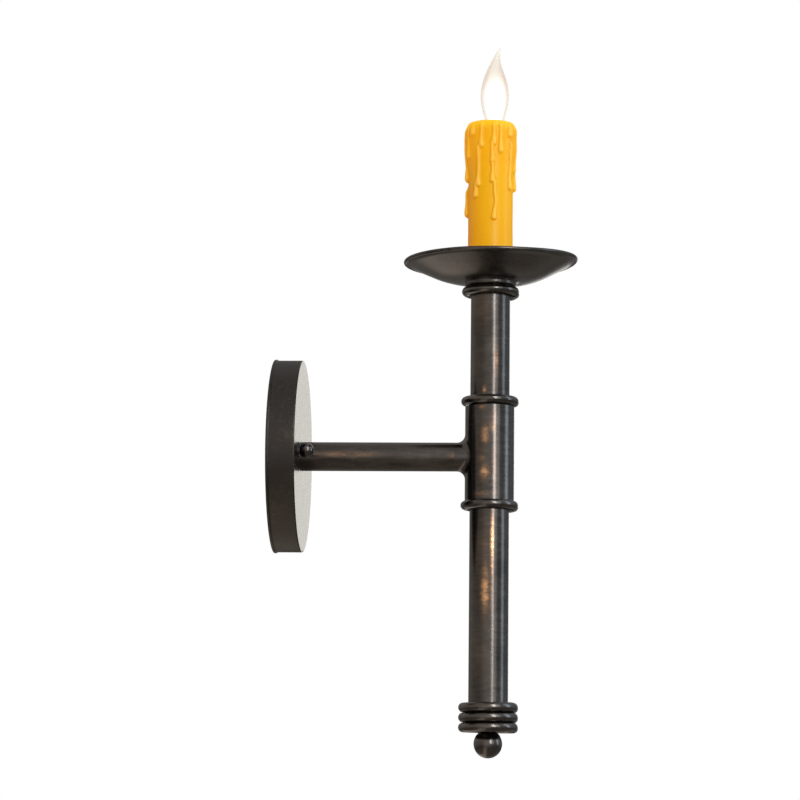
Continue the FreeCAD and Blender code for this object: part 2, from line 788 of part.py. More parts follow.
# ---- Every piece, by name ---------------------------------------------------------------------
pieces = {
    "canopy": canopy(),
    "mounting_strap": mounting_strap(),
    "canopy_studs": canopy_studs(),
    "stud_locknuts": stud_locknuts(),
    "ground_screw": ground_screw(),
    "nut_washer_left": nut_washer(-1),
    "nut_washer_right": nut_washer(1),
    "ball_nut_left": ball_nut(-1),
    "ball_nut_right": ball_nut(1),
    "arm_nipple": arm_nipple(),
    "arm_lockwasher": arm_lockwasher(),
    "arm_locknut": arm_locknut(),
    "arm_end_plug": arm_end_plug(),
    "arm_tube": arm_tube(),
    "tee_sleeve": tee_sleeve(),
    "stem_tube": stem_tube(),
    "stem_cap": stem_cap(),
    "base_plug": base_plug(),
    "tee_ring_upper": tee_ring_upper(),
    "tee_ring_lower": tee_ring_lower(),
    "collar_ring": collar_ring(),
    "finial_stud": finial_stud(),
    "finial_washer": finial_washer(),
    "finial_ball": finial_ball(),
    "drip_pan": drip_pan(),
    "pan_nipple": pan_nipple(),
    "pan_washer": pan_washer(),
    "pan_locknut": pan_locknut(),
    "socket_bracket": socket_bracket(),
    "socket_rivets": socket_rivets(),
    "socket_body": socket_body(),
    "socket_screw_shell": socket_screw_shell(),
    "socket_contact": socket_contact(),
    "candle_cover": candle_cover(),
    "bulb_glass": bulb_glass(),
    "bulb_base_shell": bulb_base_shell(),
    "bulb_base_insulator": bulb_base_insulator(),
    "bulb_contact": bulb_contact(),
    "bulb_mount": bulb_mount(),
    "bulb_lead_wires": bulb_lead_wires(),
    "bulb_filament": bulb_filament(),
}
for ring_index in range(base_ring_count):
    pieces["base_ring_%d" % (ring_index + 1)] = base_ring(ring_index)

os.makedirs("parts", exist_ok=True)
for name, shape in pieces.items():
    shape.exportStep(os.path.join("parts", name + ".step"))
    print("%-20s solids %d  volume %9.1f  valid %s" % (name, len(shape.Solids), shape.Volume, shape.isValid()))
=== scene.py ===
# Torch sconce: looks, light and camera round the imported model. Metres, +Z up, wall at y = 0.
import math
import random

import bmesh
import bpy
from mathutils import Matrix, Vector, noise


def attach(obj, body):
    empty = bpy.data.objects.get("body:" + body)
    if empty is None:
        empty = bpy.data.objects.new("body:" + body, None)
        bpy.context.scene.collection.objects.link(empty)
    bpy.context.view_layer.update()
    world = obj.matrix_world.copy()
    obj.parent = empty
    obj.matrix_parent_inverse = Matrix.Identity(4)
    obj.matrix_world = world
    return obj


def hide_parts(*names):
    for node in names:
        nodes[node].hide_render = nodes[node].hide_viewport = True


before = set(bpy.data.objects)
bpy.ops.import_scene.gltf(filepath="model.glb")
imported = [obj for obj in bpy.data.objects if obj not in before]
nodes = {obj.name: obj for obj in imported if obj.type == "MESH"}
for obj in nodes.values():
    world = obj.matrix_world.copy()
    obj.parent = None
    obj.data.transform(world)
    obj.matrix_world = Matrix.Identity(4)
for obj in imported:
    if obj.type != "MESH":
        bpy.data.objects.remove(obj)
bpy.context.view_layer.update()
scene = bpy.context.scene
MM = 0.001

# ---- Places on the object ---------------------------------------------------------------------
STEM_Y = -138.2 * MM
WAX_TOP = 218.7 * MM
PAN_FLOOR = 111.7 * MM


# ---- Camera -----------------------------------------------------------------------------------
FRAME_PIXELS = 800
FOCAL_PIXELS = 2789.9
CAMERA_AZIMUTH = math.radians(-86.53)
CAMERA_TILT = math.radians(7.598)
CAMERA_ROLL = math.radians(0.594)
AIM_POINT = Vector((0, -0.0686, 0))
AIM_PIXEL = (381.48, 456.82)
AIM_DEPTH = 1.7955


def sight_axes():
    """The camera's right, up and backward directions before and after its small roll."""
    back = Vector((math.sin(CAMERA_AZIMUTH) * math.cos(CAMERA_TILT),
                   -math.cos(CAMERA_AZIMUTH) * math.cos(CAMERA_TILT), -math.sin(CAMERA_TILT)))
    level = Vector((math.cos(CAMERA_AZIMUTH), math.sin(CAMERA_AZIMUTH), 0))
    upright = back.cross(level)
    right = level * math.cos(CAMERA_ROLL) + upright * math.sin(CAMERA_ROLL)
    up = upright * math.cos(CAMERA_ROLL) - level * math.sin(CAMERA_ROLL)
    return right, up, back


def place_camera():
    """A long lens a little below the arm, looking along the wall and slightly up."""
    right, up, back = sight_axes()
    across = (AIM_PIXEL[0] - FRAME_PIXELS / 2) / FOCAL_PIXELS * AIM_DEPTH
    down = (AIM_PIXEL[1] - FRAME_PIXELS / 2) / FOCAL_PIXELS * AIM_DEPTH
    eye = AIM_POINT + back * AIM_DEPTH - right * across + up * down
    data = bpy.data.cameras.new("photo_camera")
    data.sensor_width = 36
    data.lens = FOCAL_PIXELS / FRAME_PIXELS * data.sensor_width
    data.clip_start = 0.05
    data.clip_end = 30
    camera = bpy.data.objects.new("photo_camera", data)
    scene.collection.objects.link(camera)
    turn = camera.matrix_world.copy()
    for row in range(3):
        turn[row][0] = right[row]
        turn[row][1] = up[row]
        turn[row][2] = back[row]
        turn[row][3] = eye[row]
    camera.matrix_world = turn
    scene.camera = camera


# ---- Shader helpers ---------------------------------------------------------------------------
class Value:
    """A number socket of a node tree; its operators add the Math nodes they stand for."""

    def __init__(self, finish, socket):
        self.finish = finish
        self.socket = socket

    def math(self, operation, *others, clamp=False):
        settings = {"operation": operation, "use_clamp": clamp}
        inputs = {0: self, **{index + 1: other for index, other in enumerate(others)}}
        node = self.finish.add("ShaderNodeMath", settings, inputs)
        return Value(self.finish, node.outputs[0])

    def __add__(self, other):
        return self.math("ADD", other)

    def __sub__(self, other):
        return self.math("SUBTRACT", other)

    def __mul__(self, other):
        return self.math("MULTIPLY", other)

    def __rsub__(self, other):
        return (self * -1.0).math("ADD", other)

    __radd__ = __add__
    __rmul__ = __mul__

    def most(self, other):
        return self.math("MAXIMUM", other)

    def clamp(self):
        return self.math("ADD", 0.0, clamp=True)

    def ramp(self, start, end, low=0.0, high=1.0):
        """A smooth step from low at start to high at end."""
        node = self.finish.add("ShaderNodeMapRange", {"interpolation_type": "SMOOTHSTEP"},
                               {0: self, 1: start, 2: end, 3: low, 4: high})
        return Value(self.finish, node.outputs[0])


class Finish:
    """A material being written: add() makes any node, and the rest are short names for it."""

    def __init__(self, name, owner=None):
        self.owner = owner or bpy.data.materials.new(name)
        self.owner.use_nodes = True
        self.tree = self.owner.node_tree
        self.tree.nodes.clear()

    def add(self, kind, settings=None, inputs=None):
        node = self.tree.nodes.new(kind)
        for key, value in (settings or {}).items():
            setattr(node, key, value)
        for key, value in (inputs or {}).items():
            socket = node.inputs[key]
            value = value.socket if isinstance(value, Value) else value
            if isinstance(value, bpy.types.NodeSocket):
                self.tree.links.new(value, socket)
            elif isinstance(value, tuple) and len(value) == 3 and socket.type == "RGBA":
                socket.default_value = (*value, 1.0)
            else:
                socket.default_value = value
        return node

    def place(self, stretch=(1, 1, 1), centre=(0, 0, 0)):
        """Object coordinates, moved to a centre and scaled."""
        source = self.add("ShaderNodeTexCoord").outputs["Object"]
        shift = self.add("ShaderNodeVectorMath", {"operation": "SUBTRACT"}, {0: source, 1: centre})
        return self.add("ShaderNodeVectorMath", {"operation": "MULTIPLY"},
                        {0: shift.outputs[0], 1: stretch}).outputs[0]

    def parts(self, vector):
        split = self.add("ShaderNodeSeparateXYZ", None, {0: vector})
        return [Value(self, split.outputs[i]) for i in range(3)]

    def distance(self, vector, place):
        node = self.add("ShaderNodeVectorMath", {"operation": "DISTANCE"}, {0: vector, 1: place})
        return Value(self, node.outputs["Value"])

    def attribute(self, name):
        """A number that the mesh holds at each of its vertices."""
        node = self.add("ShaderNodeAttribute", {"attribute_name": name})
        return Value(self, node.outputs["Fac"])

    def noise(self, scale, detail=4.0, roughness=0.55, stretch=(1, 1, 1)):
        node = self.add("ShaderNodeTexNoise", {"noise_dimensions": "3D"},
                        {"Vector": self.place(stretch), "Scale": scale, "Detail": detail,
                         "Roughness": roughness})
        return Value(self, node.outputs[0])

    def blend(self, mask, first, second):
        """A colour between first and second by a mask."""
        node = self.add("ShaderNodeMix", {"data_type": "RGBA"}, {0: mask, 6: first, 7: second})
        return node.outputs[2]

    def bump(self, height, distance, strength=1.0):
        node = self.add("ShaderNodeBump", None,
                        {"Height": height, "Distance": distance, "Strength": strength})
        return node.outputs[0]

    def shader(self, constants, **linked):
        """A Principled surface: constants sit on its sockets, linked ones vary over the surface."""
        names = {key.replace("_", " "): value for key, value in linked.items()}
        node = self.add("ShaderNodeBsdfPrincipled", None, {**constants, **names})
        self.add("ShaderNodeOutputMaterial", None, {"Surface": node.outputs[0]})
        return self.owner


# ---- Finishes ---------------------------------------------------------------------------------
BROWN_DARK = (0.040, 0.034, 0.030)
BROWN_LIGHT = (0.104, 0.089, 0.078)
COPPER = (0.78, 0.42, 0.20)
COPPER_DEEP = (0.24, 0.14, 0.085)


def spot(finish, centre, size, softness=0.5):
    """A mask that is 1 at a place on the object and fades at an ellipsoid round it."""
    stretch = tuple(1.0 / length for length in size)
    away = finish.add("ShaderNodeVectorMath", {"operation": "LENGTH"},
                      {0: finish.place(stretch, centre)})
    return Value(finish, away.outputs["Value"]).ramp(1.0 + softness, 1.0 - softness)


def bronze(name, grain, roughness, wear, spots, coat, lift=0.0, faces=()):
    """Oil-rubbed bronze: mottled dark brown, fine grain along one way, copper where it is rubbed.

    Each face (axis, start, end, tone, roughness) changes both where the normal lies along that axis;
    its tone change is painted shade where positive and painted light where negative.
    """
    finish = Finish(name)
    cloud = finish.noise(34.0, 5.0, 0.6)
    fine = finish.noise(420.0, 3.0, 0.6, grain)
    flecks = finish.noise(900.0, 3.0, 0.75)
    tone = (cloud * 0.55 + fine * 0.40 + flecks * 0.15 + lift).ramp(0.34, 0.78)
    rough = (roughness + fine * 0.10 + flecks * 0.06 - 0.08).clamp()
    for axis, start, end, painted_light_and_shade, smoother in faces:
        normal = finish.add("ShaderNodeNewGeometry").outputs["Normal"]
        facing = finish.parts(normal)[axis].ramp(start, end)
        # Painted shade where the tone change is positive, painted light where it is negative.
        tone = tone - facing * painted_light_and_shade
        rough = rough - facing * smoother
    base = finish.blend(tone.clamp(), BROWN_DARK, BROWN_LIGHT)
    rub = (cloud * 0.50 + flecks * 0.80).ramp(0.74, 0.92) * wear
    streaks = finish.noise(330.0, 4.0, 0.7, tuple(0.15 + 0.85 * g for g in grain))
    ragged = (streaks * 0.7 + flecks * 0.3).ramp(0.34, 0.68)
    for centre, size, amount in spots:
        rub = rub.most(spot(finish, centre, size, 0.95) * (ragged * 0.50 + 0.42) * amount)
    copper = finish.blend(rub.ramp(0.25, 1.0), COPPER_DEEP, COPPER)
    colour = finish.blend(rub.ramp(0.0, 0.8), base, copper)
    dents = finish.noise(95.0, 3.0, 0.5)
    normal = finish.bump(dents * 0.5 + fine * 0.55 + flecks * 0.30, 0.00009, 1.0)
    return finish.shader({"Metallic": 1.0, "Coat Roughness": 0.14, "Coat IOR": 1.5,
                          "Coat Weight": coat},
                         Base_Color=colour, Roughness=rough, Normal=normal)


def plain_metal(name, dark, light, roughness):
    """A bare or plated metal with a cloudy tone."""
    finish = Finish(name)
    tone = finish.noise(300.0, 4.0, 0.6)
    smudge = finish.noise(60.0, 3.0, 0.5)
    colour = finish.blend(tone.ramp(0.3, 0.7), dark, light)
    rough = (roughness + tone * 0.12 + smudge * 0.14 - 0.13).clamp()
    return finish.shader({"Metallic": 1.0}, Base_Color=colour, Roughness=rough,
                         Normal=finish.bump(tone, 0.00004, 0.6))


def moulding(name, dark, light, roughness):
    """A moulded black or dyed piece with a fine orange-peel skin."""
    finish = Finish(name)
    peel = finish.noise(520.0, 3.0, 0.5)
    cloud = finish.noise(70.0, 3.0, 0.5)
    return finish.shader({"Specular IOR Level": 0.5},
                         Base_Color=finish.blend(cloud.ramp(0.3, 0.7), dark, light),
                         Roughness=(roughness + cloud * 0.12 - 0.06).clamp(),
                         Normal=finish.bump(peel, 0.00003, 0.5))


def honey_wax():
    """Amber wax with a painted glow for the bulb's light inside, most near its top and again at its
    foot; a painted highlight makes it paler on its runs, painted shade deeper beside them.
    """
    finish = Finish("honey_wax")
    _, _, height = finish.parts(finish.place())
    warm = height.ramp(0.178, 0.203)
    painted_glow_top = height.ramp(0.2105, 0.2185)
    cloud = finish.noise(70.0, 4.0, 0.55, (1, 1, 0.35))
    painted_crease_shade = finish.attribute("painted_crease_shade")
    painted_ridge_highlight = finish.attribute("painted_ridge_highlight")
    body = finish.blend(warm, (0.56, 0.40, 0.0), (0.38, 0.27, 0.0))
    body = finish.blend(cloud.ramp(0.35, 0.75) * 0.25, body, (0.62, 0.34, 0.0))
    # Painted shade beside each run darkens the colour here.
    body = finish.blend(painted_crease_shade * 0.45, body, (0.34, 0.15, 0.0))
    # A painted highlight makes each run's crest paler.
    colour = finish.blend(painted_ridge_highlight * 0.8, body, (0.55, 0.42, 0.05))
    # The emission is painted glow standing in for the bulb's light through the wax, strongest near
    # its top.
    light = finish.blend(warm, (0.38, 0.080, 0.0), (0.57, 0.18, 0.0))
    light = finish.blend(painted_glow_top, light, (0.72, 0.36, 0.01))
    # Painted shade beside the runs dims the glow.
    light = finish.blend(painted_crease_shade * 0.35, light, (0.42, 0.10, 0.0))
    # A painted highlight brightens the glow on the runs' crests, below the top.
    light = finish.blend(painted_ridge_highlight * (1.0 - painted_glow_top) * 0.8, light, (0.52, 0.20, 0.02))
    # More painted glow at the candle's foot, just above the pan.
    light = finish.blend(height.ramp(0.1160, 0.1122), light, (0.62, 0.14, 0.01))
    rough = (0.26 + cloud * 0.14).clamp()
    skin = finish.noise(240.0, 3.0, 0.5, (1, 1, 0.5))
    return finish.shader({"Subsurface Weight": 0.2, "Subsurface Radius": (1.0, 0.5, 0.12),
                          "Subsurface Scale": 0.002, "Emission Strength": 1.0,
                          "Specular IOR Level": 0.25},
                         Base_Color=colour, Roughness=rough, Emission_Color=light,
                         Normal=finish.bump(skin + cloud * 0.8, 0.00012, 0.7))


def clear_glass():
    """Thin blown glass, lit from within: a painted white glow low in the middle stands in for the
    bulb's light, and painted warm shade on its edges, strongest near the tip, for its refraction.
    """
    finish = Finish("clear_glass")
    edge = Value(finish, finish.add("ShaderNodeLayerWeight", None, {"Blend": 0.40}).outputs["Facing"])
    _, _, height = finish.parts(finish.place())
    tip = height.ramp(0.236, 0.250)
    ripple = finish.noise(60.0, 2.0, 0.5)
    # The warm edge colours are painted shade standing in for the glass's edge refraction.
    warm = finish.blend(tip, (0.95, 0.88, 0.80), (0.88, 0.78, 0.69))
    middle = finish.blend(tip, (1.0, 0.995, 0.99), (0.96, 0.92, 0.87))
    tint = finish.blend(edge.ramp(0.06, 0.46), middle, warm)
    # The glow is painted light standing in for the lit bulb's brightness.
    glow = (1.0 - edge).ramp(0.70, 0.98) * height.ramp(0.256, 0.230)
    light = finish.blend(glow, (0.0, 0.0, 0.0), (1.0, 0.97, 0.92))
    return finish.shader({"Transmission Weight": 1.0, "IOR": 1.22, "Roughness": 0.0,
                          "Emission Strength": 0.26, "Specular Tint": (1.0, 0.90, 0.80, 1.0)},
                         Base_Color=tint, Emission_Color=light,
                         Normal=finish.bump(ripple, 0.00004, 0.4))


def glowing(name, colour, strength):
    """A glowing wire, a little uneven along its length."""
    finish = Finish(name)
    uneven = finish.noise(900.0, 2.0, 0.5)
    light = finish.blend(uneven.ramp(0.3, 0.7), colour, (1.0, 0.93, 0.80))
    return finish.shader({"Emission Strength": strength, "Roughness": 0.5},
                         Base_Color=light, Emission_Color=light)


# ---- Wax candle -------------------------------------------------------------------------------
# Each run of wax: angle round the candle in degrees, from the side that faces -X towards the side
# away from the wall; how far below the top it starts and ends, and its half width, in millimetres.
WAX_RUNS = [
    (-86, 6.0, 39.5, 1.9), (-89, 46.0, 62.5, 1.95), (-64, 5.5, 25.0, 1.2), (-47, 5.5, 10.5, 1.3),
    (-30, 19.0, 44.5, 1.3), (-38, 42.0, 51.5, 1.2), (-21, 5.0, 19.0, 1.2), (4, 16.5, 29.0, 1.2),
    (6, 30.0, 42.0, 1.2), (9, 5.0, 17.5, 1.2), (12, 42.0, 66.5, 1.3), (26, 5.0, 22.5, 1.3),
    (53, 5.5, 11.5, 1.5), (57, 16.0, 46.0, 1.4), (88, 5.5, 33.5, 1.5), (92, 33.5, 45.5, 1.7),
    (109, 5.5, 24.0, 1.2), (128, 5.5, 52.0, 1.4), (146, 5.5, 30.0, 1.3), (163, 5.5, 18.5, 1.3),
    (182, 5.5, 60.0, 1.5), (201, 5.5, 27.0, 1.2), (222, 5.5, 38.0, 1.4), (246, 5.5, 20.0, 1.3),
]
# The candle's radii and coat, and how far its top edge is rounded, in millimetres.
WAX_RADIUS = 14.5
WAX_BORE = 12.2
WAX_COAT = 0.95
WAX_SHOULDER = 2.4
# How far a run's foot spreads past its half width.
RUN_SPREAD = 1.35
WAX_Y = STEM_Y + 0.4 * MM


def ease(value):
    """A smooth step from 0 to 1."""
    value = min(1.0, max(0.0, value))
    return value * value * (3 - 2 * value)


def run_height(run, angle, below):
    """How far one run of wax stands off the candle at an angle and a depth below the top."""
    middle, start, end, half = run
    wander = 0.8 * noise.noise(Vector((middle * 0.37, below * 0.09, 0.0)))
    turn = (math.degrees(angle) - middle + 180) % 360 - 180
    across = math.radians(turn) * WAX_RADIUS - wander * ease((below - start) / 10)
    if abs(across) > 4:
        return 0.0
    drop = end - 1.5 * half
    if below < start:
        width = half * (0.4 + 0.6 * ease((below - start + 6) / 6))
        tall = 0.7
    elif below < drop:
        width = half * (0.72 + 0.20 * noise.noise(Vector((middle, below * 0.2, 3.0))))
        width += 0.35 * half * ease((below - drop + 8) / 8)
        tall = 0.75 + 0.25 * ease((below - drop + 8) / 8)
    else:
        fall = (below - drop) / (1.5 * half)
        if fall >= 1:
            return 0.0
        width = 1.15 * half * math.sqrt(1 - fall * fall)
        tall = math.sqrt(1 - fall * fall)
    share = abs(across) / max(width, 0.05)
    if share >= RUN_SPREAD:
        return 0.0
    bulge = math.sqrt(max(0.0, 1 - (share / RUN_SPREAD) ** 2))
    fade = ease((below - start + 5) / 5)
    return (half * 1.15 + 0.25) * tall * bulge ** 1.3 * fade


def wax_radius(angle, below):
    """The candle's outer radius at an angle and a depth below the top, and its runs' share of it."""
    coat = WAX_COAT * (1 - ease((below - 17) / 14))
    lumps = 0.22 * noise.noise(Vector((math.cos(angle) * 1.4, math.sin(angle) * 1.4, below * 0.11)))
    lumps += 0.10 * noise.noise(Vector((math.cos(angle) * 4, math.sin(angle) * 4, below * 0.35)))
    body = WAX_RADIUS + coat + lumps * (0.35 + 0.65 * coat / WAX_COAT)
    total = 0.0
    for run in WAX_RUNS:
        if run[1] - 6 < below < run[2]:
            total = max(total, run_height(run, angle, below))
    shoulder = 0.0
    if below < WAX_SHOULDER:
        inset = WAX_SHOULDER - below
        shoulder = WAX_SHOULDER - math.sqrt(max(0.0, WAX_SHOULDER ** 2 - inset ** 2))
    return body + total - shoulder, total


def finished(bm, name, finish, stands_for, body="fixture"):
    """A new piece from a bmesh: normals out, smooth faces, its finish, body and slot."""
    bmesh.ops.recalc_face_normals(bm, faces=bm.faces[:])
    mesh = bpy.data.meshes.new(name)
    bm.to_mesh(mesh)
    bm.free()
    mesh.shade_smooth()
    piece = bpy.data.objects.new(name, mesh)
    scene.collection.objects.link(piece)
    mesh.materials.append(finish)
    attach(piece, body)
    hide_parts(*stands_for)


def wax_candle(finish):
    """The wax tube: a closed section turned round the stem, its outside drawn out into runs."""
    bore_rows = 12
    outer_rows = 200
    turns = 320
    bm = bmesh.new()
    length = (WAX_TOP - PAN_FLOOR) / MM
    section = [(WAX_BORE, length * i / bore_rows) for i in range(bore_rows + 1)]
    section += [(radius, length) for radius in (12.8, 13.5, 14.1)]
    section += [(WAX_RADIUS, length * (1 - (i / outer_rows))) for i in range(outer_rows + 1)]
    section += [(radius, 0.0) for radius in (11.9, 12.05)]
    ring = []
    for radius, depth in section:
        ring.append(bm.verts.new((-radius * MM, WAX_Y, WAX_TOP - depth * MM)))
    edges = [bm.edges.new((ring[i], ring[(i + 1) % len(ring)])) for i in range(len(ring))]
    bmesh.ops.spin(bm, geom=ring + edges, cent=(0, WAX_Y, 0), axis=(0, 0, 1), dvec=(0, 0, 0),
                   angle=2 * math.pi, steps=turns, use_merge=True, use_duplicate=False)
    # The first layer holds painted shade beside each run.
    painted_crease_shade = bm.verts.layers.float.new("painted_crease_shade")
    # The second layer holds a painted highlight on each run's crest.
    painted_ridge_highlight = bm.verts.layers.float.new("painted_ridge_highlight")
    for vertex in bm.verts:
        x, y = vertex.co.x, vertex.co.y - WAX_Y
        radius = math.hypot(x, y) / MM
        if radius < WAX_RADIUS - 0.2:
            continue
        angle = math.atan2(-y, -x)
        below = (WAX_TOP - vertex.co.z) / MM
        grown, raised = wax_radius(angle, below)
        vertex[painted_crease_shade] = math.sin(math.pi * min(1.0, raised / 0.8)) if below > 4 else 0.0
        vertex[painted_ridge_highlight] = ease((raised - 0.5) / 1.2)
        vertex.co.x = -grown * MM * math.cos(angle)
        vertex.co.y = WAX_Y - grown * MM * math.sin(angle)
    finished(bm, "wax_candle", finish, ("candle_cover",), body="candle")


# ---- Bulb glass -------------------------------------------------------------------------------
# The outline of the glass: height and radius in shares of the whole, and the tip's lean.
FLAME = [
    (0.00, 0.600, 0.00), (0.11, 0.605, 0.00), (0.20, 0.735, 0.00), (0.29, 0.890, 0.00),
    (0.43, 1.000, 0.00), (0.56, 0.925, 0.00), (0.68, 0.715, 0.00), (0.79, 0.450, 0.07),
    (0.87, 0.275, 0.30), (0.94, 0.150, 0.65), (1.00, 0.070, 1.00),
]
BULB_Y = STEM_Y - 2.0 * MM
BULB_NECK = 212.3 * MM
BULB_HEIGHT = 56.8 * MM
BULB_RADIUS = 9.2 * MM
BULB_LEAN = 2.9 * MM
BULB_WALL = 0.6 * MM
NECK_DEPTH = 6.0 * MM
NECK_RADIUS = 5.45 * MM
NECK_BORE = 4.85 * MM
# The share of its height above which the flame leans, and the radius, in walls, where it is solid.
LEAN_START = 0.68
SOLID_TIP = 2.2


def flame_at(share, column):
    """A smooth curve through one column of the flame's outline."""
    index = max(i for i in range(len(FLAME) - 1) if FLAME[i][0] <= share or i == 0)
    nearby = [min(max(i, 0), len(FLAME) - 1) for i in range(index - 1, index + 3)]
    before, start, end, after = [FLAME[i] for i in nearby]
    width = end[0] - start[0]
    slope_in = (end[column] - before[column]) / (end[0] - before[0]) * width
    slope_out = (after[column] - start[column]) / (after[0] - start[0]) * width
    t = (share - start[0]) / width
    rise = end[column] - start[column]
    return start[column] + t * (slope_in + t * (3 * rise - 2 * slope_in - slope_out
                                                + t * (slope_in + slope_out - 2 * rise)))


def flame_bulb(finish):
    """The bulb's glass: a thin envelope with a solid, leaning flame tip."""
    rows = 110
    outside = [(BULB_RADIUS * flame_at(i / rows, 1), i / rows) for i in range(rows + 1)]
    inside = [(radius - BULB_WALL, share) for radius, share in outside
              if radius > SOLID_TIP * BULB_WALL]
    neck = -NECK_DEPTH / BULB_HEIGHT
    section = [(0.0, inside[-1][1] + 0.008), (inside[-1][0] * 0.55, inside[-1][1] + 0.005)]
    section += inside[::-1]
    section += [(NECK_BORE, neck), (NECK_RADIUS, neck), (NECK_RADIUS, -0.001)] + outside
    section += [(0.0, 1.0)]
    bm = bmesh.new()
    line = [bm.verts.new((radius, BULB_Y, BULB_NECK + BULB_HEIGHT * share))
            for radius, share in section]
    edges = [bm.edges.new(ends) for ends in zip(line, line[1:])]
    bmesh.ops.spin(bm, geom=line + edges, cent=(0, BULB_Y, 0), axis=(0, 0, 1), dvec=(0, 0, 0),
                   angle=2 * math.pi, steps=120, use_merge=True, use_duplicate=False)
    bmesh.ops.remove_doubles(bm, verts=bm.verts[:], dist=1e-7)
    for vertex in bm.verts:
        share = (vertex.co.z - BULB_NECK) / BULB_HEIGHT
        if share > LEAN_START:
            vertex.co.y -= BULB_LEAN * flame_at(min(1.0, share), 2)
    finished(bm, "flame_bulb", finish, ("bulb_glass",), body="bulb")


# ---- Drip pan ---------------------------------------------------------------------------------
PAN_RADIUS = 56.35 * MM
PAN_RISE = 2.5 * MM
# The shares of its radius that stay level and that are drawn up.
PAN_LEVEL = 0.32
PAN_BENT = 0.68


def bent_pan(finish):
    """The drip pan, with the side away from the wall drawn up a little."""
    bm = bmesh.new()
    bm.from_mesh(nodes["drip_pan"].data)
    bmesh.ops.remove_doubles(bm, verts=bm.verts[:], dist=1e-6)
    for vertex in bm.verts:
        out = max(0.0, (STEM_Y - vertex.co.y) / PAN_RADIUS - PAN_LEVEL) / PAN_BENT
        vertex.co.z += PAN_RISE * out ** 1.5
    finished(bm, "bent_pan", finish, ("drip_pan",))


# ---- Light and world --------------------------------------------------------------------------
PANEL_WAY = (0.983, -0.12, 0.132)
FRONT_WAY = (-0.99, 0.05, 0.02)
LAMP_AIM = Vector((0, -0.1, 0.02))
LAMP_DISTANCE = 2.6


def lamp(name, azimuth, height, size, power, colour):
    """A soft rectangular lamp, turned to the object. Azimuth counts to the right of the camera."""
    turn = CAMERA_AZIMUTH + math.radians(azimuth)
    rise = math.radians(height)
    away = Vector((math.sin(turn) * math.cos(rise), -math.cos(turn) * math.cos(rise),
                   math.sin(rise)))
    data = bpy.data.lights.new(name, "AREA")
    data.shape = "RECTANGLE"
    data.size, data.size_y = size
    data.energy = power
    data.color = colour
    light = bpy.data.objects.new(name, data)
    light.location = LAMP_AIM + away * LAMP_DISTANCE
    light.rotation_euler = away.to_track_quat("Z", "Y").to_euler()
    light.visible_camera = False
    scene.collection.objects.link(light)


def studio_world():
    """White behind the object; gloss sees a dim room, lighter in front, dark below, and one panel."""
    world = bpy.data.worlds.new("studio")
    scene.world = world
    room = Finish("studio", world)
    way = room.add("ShaderNodeTexCoord").outputs["Generated"]
    x, y, z = room.parts(way)
    level = z.ramp(-0.42, 0.02, 0.14, 0.46) + z.ramp(0.10, 0.45, 0.0, 0.16)
    level = level * x.ramp(0.45, 0.80, 1.0, 0.45)
    off_front = room.distance(way, FRONT_WAY)
    level = level + off_front.ramp(0.85, 0.10) * 0.48
    bounce = y.ramp(0.03, 0.22) * y.ramp(0.62, 0.38) * z.ramp(-0.30, -0.55)
    level = level.most(bounce * 0.88).most(z.ramp(-0.2, -0.5) * 0.24)
    panel = room.distance(way, PANEL_WAY).ramp(0.30, 0.16)
    level = level.most(panel * 1.55)
    tint = room.blend(y.ramp(-0.6, 0.5), (0.80, 0.90, 1.0), (1.0, 0.94, 0.86))
    tint = room.blend(z.ramp(-0.12, -0.42), tint, (1.0, 0.90, 0.79))
    tint = room.blend(panel, tint, (1.0, 0.97, 0.91))
    path = room.add("ShaderNodeLightPath").outputs
    seen = Value(room, path["Is Camera Ray"]).most(Value(room, path["Is Transmission Ray"]))
    gloss = Value(room, path["Is Glossy Ray"]) * (1.0 - seen)
    colour = room.blend(seen, (0.45, 0.45, 0.45), (1.0, 1.0, 1.0))
    colour = room.blend(gloss, colour, tint)
    sky = room.add("ShaderNodeBackground", None,
                   {"Color": colour, "Strength": gloss * (level - 1.0) + 1.0})
    room.add("ShaderNodeOutputWorld", None, {"Surface": sky.outputs[0]})


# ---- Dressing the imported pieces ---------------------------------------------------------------
def dress(finish, *names):
    """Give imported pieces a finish."""
    for name in names:
        mesh = nodes[name].data
        mesh.materials.clear()
        mesh.materials.append(finish)


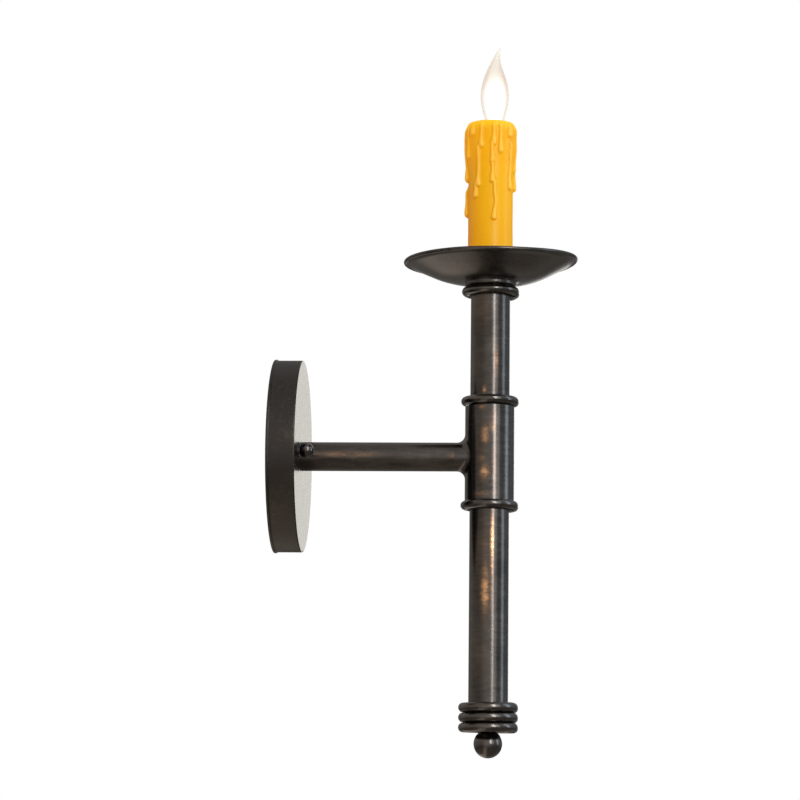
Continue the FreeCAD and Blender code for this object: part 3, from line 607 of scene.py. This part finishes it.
def dress_metal():
    sleeve_spots = [
        ((-0.0150, STEM_Y + 0.0026, 0.0130), (0.008, 0.0030, 0.0058), 0.88),
        ((-0.0150, STEM_Y - 0.0016, 0.0200), (0.008, 0.0026, 0.0080), 0.58),
        ((-0.0150, STEM_Y + 0.0030, -0.0112), (0.008, 0.0034, 0.0054), 0.88),
        ((-0.0150, STEM_Y + 0.0050, -0.0030), (0.008, 0.0028, 0.0040), 0.60),
        ((-0.0150, STEM_Y + 0.0060, -0.0248), (0.010, 0.0080, 0.0020), 0.62),
        ((-0.0150, STEM_Y + 0.0048, 0.0310), (0.010, 0.0024, 0.0018), 0.75),
        ((-0.0150, STEM_Y - 0.0030, -0.0060), (0.008, 0.0014, 0.0140), 0.36),
        ((-0.0150, STEM_Y + 0.0070, 0.0050), (0.010, 0.0050, 0.0200), 0.22),
    ]
    stem_spots = [
        ((-0.0127, STEM_Y - 0.0021, -0.0560), (0.008, 0.0014, 0.0190), 1.0),
        ((-0.0127, STEM_Y + 0.0022, -0.0850), (0.008, 0.0030, 0.0160), 0.95),
        ((-0.0127, STEM_Y - 0.0016, -0.0860), (0.008, 0.0014, 0.0160), 0.50),
        ((-0.0127, STEM_Y + 0.0036, -0.0580), (0.008, 0.0056, 0.0160), 0.38),
        ((-0.0127, STEM_Y + 0.0062, 0.0940), (0.008, 0.0050, 0.0120), 0.42),
        ((-0.0127, STEM_Y - 0.0046, 0.0610), (0.008, 0.0016, 0.0100), 0.60),
        ((-0.0127, STEM_Y + 0.0034, 0.0425), (0.008, 0.0014, 0.0024), 1.0),
        ((-0.0127, STEM_Y + 0.0060, -0.1300), (0.008, 0.0040, 0.0100), 0.28),
    ]
    arm_spots = [
        ((-0.0092, -0.0440, 0.0006), (0.006, 0.0240, 0.0020), 0.60),
        ((-0.0092, -0.1160, 0.0000), (0.006, 0.0050, 0.0018), 0.55),
    ]
    turned = (0.22, 0.22, 1)
    along = (1, 0.16, 1)
    even = (1, 1, 1)
    dress(bronze("sleeve_bronze", turned, 0.22, 0.36, sleeve_spots, 0.5), "tee_sleeve")
    dress(bronze("stem_bronze", turned, 0.25, 0.36, stem_spots, 0.4), "stem_tube", "stem_cap",
          "base_plug")
    dress(bronze("arm_bronze", along, 0.29, 0.36, arm_spots, 0.3, 0.02), "arm_tube")
    # The canopy's faces paint light: its front face lighter and smoother, and its downward side
    # lighter.
    dress(bronze("canopy_bronze", even, 0.44, 0.28, [], 0.1, -0.18,
                 [(1, -0.6, -0.9, -0.27, 0.17), (2, -0.2, -0.9, -0.7, 0.0)]), "canopy")
    # The pan's face paints shade where it faces up.
    bent_pan(bronze("pan_bronze", even, 0.34, 0.10, [], 0.3, 0.06, [(2, 0.1, 0.5, 0.6, 0.0)]))
    dress(bronze("ring_bronze", even, 0.23, 0.08, [], 0.5, 0.04), "tee_ring_upper",
          "tee_ring_lower", "collar_ring", "base_ring_1", "base_ring_2", "base_ring_3", "finial_ball",
          "finial_washer", "ball_nut_left", "ball_nut_right", "nut_washer_left", "nut_washer_right")


def dress_hidden():
    zinc = plain_metal("zinc_plate", (0.30, 0.31, 0.32), (0.46, 0.46, 0.45), 0.42)
    dress(zinc, "mounting_strap", "canopy_studs", "stud_locknuts", "arm_nipple", "arm_lockwasher",
          "arm_locknut", "arm_end_plug", "finial_stud", "pan_nipple", "pan_washer", "pan_locknut",
          "socket_bracket", "socket_rivets")
    dress(moulding("earth_green", (0.015, 0.12, 0.04), (0.03, 0.20, 0.07), 0.35), "ground_screw")
    dress(moulding("phenolic", (0.012, 0.011, 0.010), (0.028, 0.025, 0.022), 0.38), "socket_body")
    dress(plain_metal("brass", (0.55, 0.38, 0.14), (0.82, 0.62, 0.28), 0.25),
          "socket_screw_shell", "socket_contact")
    dress(plain_metal("nickel", (0.55, 0.54, 0.51), (0.78, 0.76, 0.72), 0.22), "bulb_base_shell",
          "bulb_lead_wires")
    dress(moulding("black_glass", (0.008, 0.008, 0.010), (0.02, 0.02, 0.025), 0.10),
          "bulb_base_insulator")
    dress(plain_metal("solder", (0.45, 0.45, 0.47), (0.68, 0.68, 0.70), 0.35), "bulb_contact")
    glass = clear_glass()
    dress(glass, "bulb_mount")
    flame_bulb(glass)
    dress(glowing("filament", (1.0, 0.80, 0.50), 40.0), "bulb_filament")


random.seed(7)
place_camera()
studio_world()
lamp("key_lamp", 22.0, 24.0, (0.46, 2.6), 35.0, (1.0, 0.99, 0.98))
lamp("key_edge_lamp", 38.0, 22.0, (0.66, 2.6), 7.0, (0.97, 0.98, 1.0))
lamp("side_lamp", 84.0, 18.0, (0.76, 2.4), 15.0, (0.70, 0.84, 1.0))
dress_metal()
dress_hidden()
wax_candle(honey_wax())

scene.view_settings.view_transform = "Standard"
